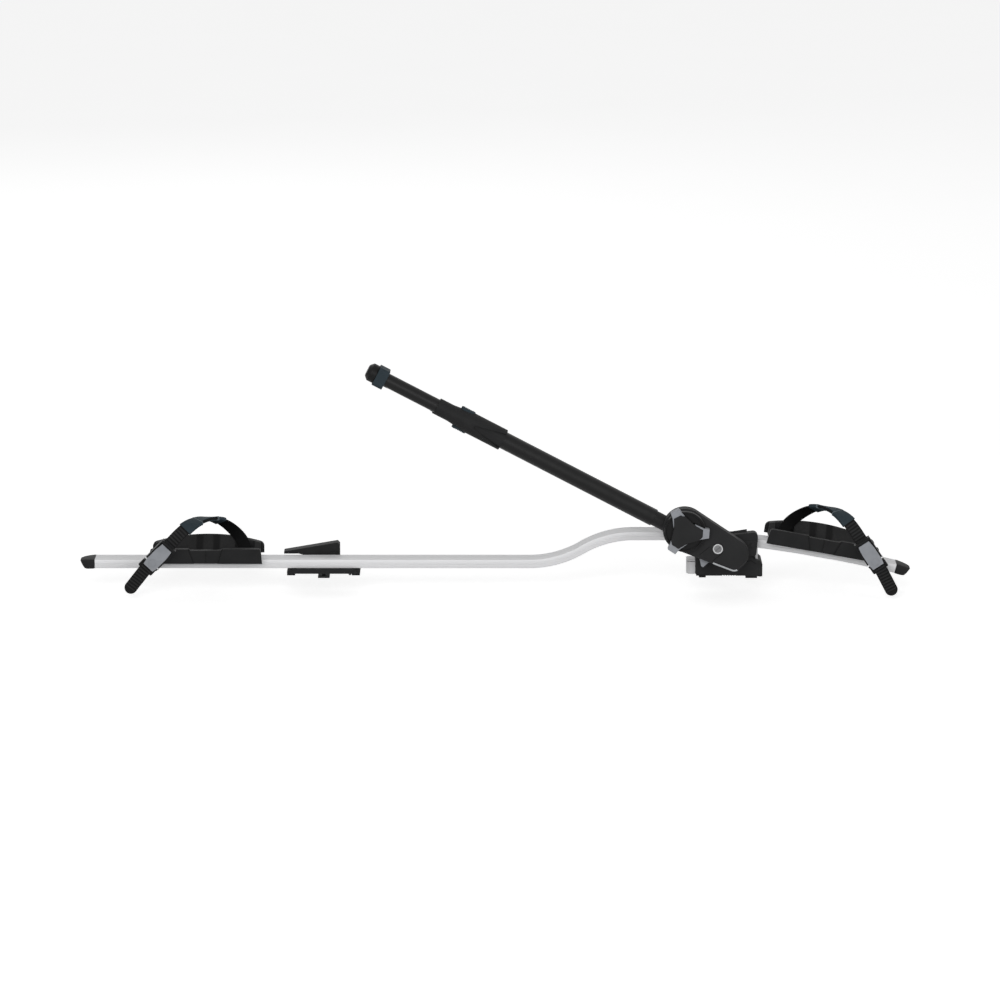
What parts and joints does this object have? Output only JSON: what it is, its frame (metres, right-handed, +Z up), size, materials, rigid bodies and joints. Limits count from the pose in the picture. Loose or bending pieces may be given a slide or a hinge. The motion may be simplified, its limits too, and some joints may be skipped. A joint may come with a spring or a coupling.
{
  "type": "roof mounted bike carrier",
  "caption": "Roof bar bicycle carrier: bent aluminium rail, two strapped wheel trays, and a folding arm with jaws that a knob tightens.",
  "frame": {"origin": "centre of the front foot's seat on the front load bar, in the rail's middle plane", "axes": "+X along the rail towards the front wheel, +Z up, -Y towards the knob"},
  "size_m": [1.4372, 0.1524, 0.4164],
  "materials": {
    "rail_aluminium": "satin anodised extrusion",
    "cast_aluminium": "bead blasted casting",
    "black_plastic": "fine textured moulding",
    "grey_plastic": "smooth satin moulding",
    "dark_rubber": "soft matte rubber",
    "black_metal": "semi-gloss black powder coat",
    "steel": "zinc plated"
  },
  "bodies": {
    "carrier_frame": {"rail": "rail_aluminium", "rear_end_cap": "black_plastic", "front_end_cap": "black_plastic", "front_foot_casting": "cast_aluminium", "front_foot_cover": "black_plastic", "front_foot_pad": "dark_rubber", "front_locator_bolt": "steel", "front_clamp_ear": "black_metal", "hub_bracket": "black_metal", "arm_pivot_pin": "steel", "rear_clamp_plate": "black_plastic", "rear_clamp_pads": "dark_rubber", "rear_clamp_screws": "steel"},
    "arm": {"arm_cover_near": "black_plastic", "arm_cover_far": "black_plastic", "arm_cover_screws": "steel", "arm_socket": "black_metal", "arm_outer_tube": "black_metal", "jaw_sleeve": "black_plastic", "guide_bush": "grey_plastic", "lower_jaw": "black_plastic", "lower_jaw_pad": "dark_rubber"},
    "jaw_slider": {"arm_inner_tube": "black_metal", "inner_tube_guide": "grey_plastic", "upper_jaw": "black_plastic", "upper_jaw_pad": "dark_rubber", "jaw_collar": "dark_rubber", "arm_tip_cap": "black_plastic"},
    "knob": {"knob_disc": "black_plastic", "knob_lugs": "grey_plastic", "knob_cap": "black_plastic", "knob_spindle": "steel"},
    "upper_button": {"upper_release_button": "dark_rubber"},
    "lower_button": {"lower_release_button": "dark_rubber"},
    "lock": {"lock_barrel": "steel"},
    "trigger": {"release_trigger": "grey_plastic"},
    "front_lever": {"front_clamp_lever": "black_plastic"},
    "front_bolt": {"front_t_bolt": "steel"},
    "rear_lever": {"rear_clamp_lever": "black_plastic"},
    "rear_bolt": {"rear_t_bolt": "steel"},
    "rear_tray": {"rear_wheel_tray": "black_plastic", "rear_tray_clamp": "black_plastic", "rear_tray_screws": "steel", "rear_wheel_strap": "black_plastic", "rear_rim_protector": "dark_rubber", "rear_buckle_frame": "black_plastic", "rear_buckle_pin": "steel"},
    "rear_buckle": {"rear_buckle_lever": "grey_plastic"},
    "front_tray": {"front_wheel_tray": "black_plastic", "front_tray_clamp": "black_plastic", "front_tray_screws": "steel", "front_wheel_strap": "black_plastic", "front_rim_protector": "dark_rubber", "front_buckle_frame": "black_plastic", "front_buckle_pin": "steel"},
    "front_buckle": {"front_buckle_lever": "grey_plastic"}
  },
  "joints": [
    {"name": "arm_fold", "type": "hinge", "parent": "carrier_frame", "child": "arm", "pos_m": [-0.005, -0.058, 0.044], "axis": [0, 1, 0], "range_deg": [-26, 72]},
    {"name": "knob_turn", "type": "hinge", "parent": "arm", "child": "knob", "pos_m": [-0.07924, -0.092, 0.09445], "axis": [0, 1, 0], "range_deg": [0, 1000]},
    {"name": "jaw_slide", "type": "slide", "parent": "arm", "child": "jaw_slider", "axis": [0.8846, 0, -0.4664], "range_m": [0, 0.07]},
    {"name": "upper_button_press", "type": "slide", "parent": "arm", "child": "upper_button", "axis": [-0.4664, 0, -0.8846], "range_m": [0, 0.0015], "stiffness_N_per_m": 800, "springref_m": -0.0005},
    {"name": "lower_button_press", "type": "slide", "parent": "arm", "child": "lower_button", "axis": [0.4664, 0, 0.8846], "range_m": [0, 0.0015], "stiffness_N_per_m": 800, "springref_m": -0.0005},
    {"name": "lock_turn", "type": "hinge", "parent": "arm", "child": "lock", "pos_m": [-0.0225, -0.078, 0.06227], "axis": [0, 1, 0], "range_deg": [0, 90]},
    {"name": "trigger_press", "type": "slide", "parent": "arm", "child": "trigger", "axis": [0.4664, 0, 0.8846], "range_m": [0, 0.004], "stiffness_N_per_m": 600, "springref_m": -0.002},
    {"name": "front_lever_open", "type": "hinge", "parent": "carrier_frame", "child": "front_lever", "pos_m": [0.0397, -0.031, 0.057], "axis": [0, 1, 0], "range_deg": [0, 95]},
    {"name": "front_bolt_slide", "type": "slide", "parent": "carrier_frame", "child": "front_bolt", "axis": [0, 0, -1], "range_m": [0, 0.003]},
    {"name": "rear_lever_open", "type": "hinge", "parent": "carrier_frame", "child": "rear_lever", "pos_m": [-0.684, 0.035, 0.022], "axis": [0, 1, 0], "range_deg": [0, 95]},
    {"name": "rear_bolt_slide", "type": "slide", "parent": "carrier_frame", "child": "rear_bolt", "axis": [0, 0, -1], "range_m": [0, 0.003]},
    {"name": "rear_tray_slide", "type": "slide", "parent": "carrier_frame", "child": "rear_tray", "axis": [1, 0, 0], "range_m": [-0.06, 0.028]},
    {"name": "front_tray_slide", "type": "hinge", "parent": "carrier_frame", "child": "front_tray", "pos_m": [-0.25734, 0, -2.23394], "axis": [0, 1, 0], "range_deg": [0, 0.9]},
    {"name": "rear_buckle_lift", "type": "hinge", "parent": "rear_tray", "child": "rear_buckle", "pos_m": [-0.99376, -0.0659, 0.03221], "axis": [0.7169, 0, -0.6972], "range_deg": [0, 20], "stiffness_Nm_per_rad": 0.2, "springref_deg": -20.05},
    {"name": "front_buckle_lift", "type": "hinge", "parent": "front_tray", "child": "front_buckle", "pos_m": [0.24921, -0.0659, 0.03494], "axis": [0.8305, 0, 0.557], "range_deg": [0, 20], "stiffness_Nm_per_rad": 0.2, "springref_deg": -20.05}
  ],
  "couplings": [
    {"joint": "knob_turn", "follows": "jaw_slide", "rad_per_m": 249.08},
    {"joint": "front_bolt_slide", "follows": "front_lever_open", "m_per_rad": 0.0018075},
    {"joint": "rear_bolt_slide", "follows": "rear_lever_open", "m_per_rad": 0.0018075}
  ]
}
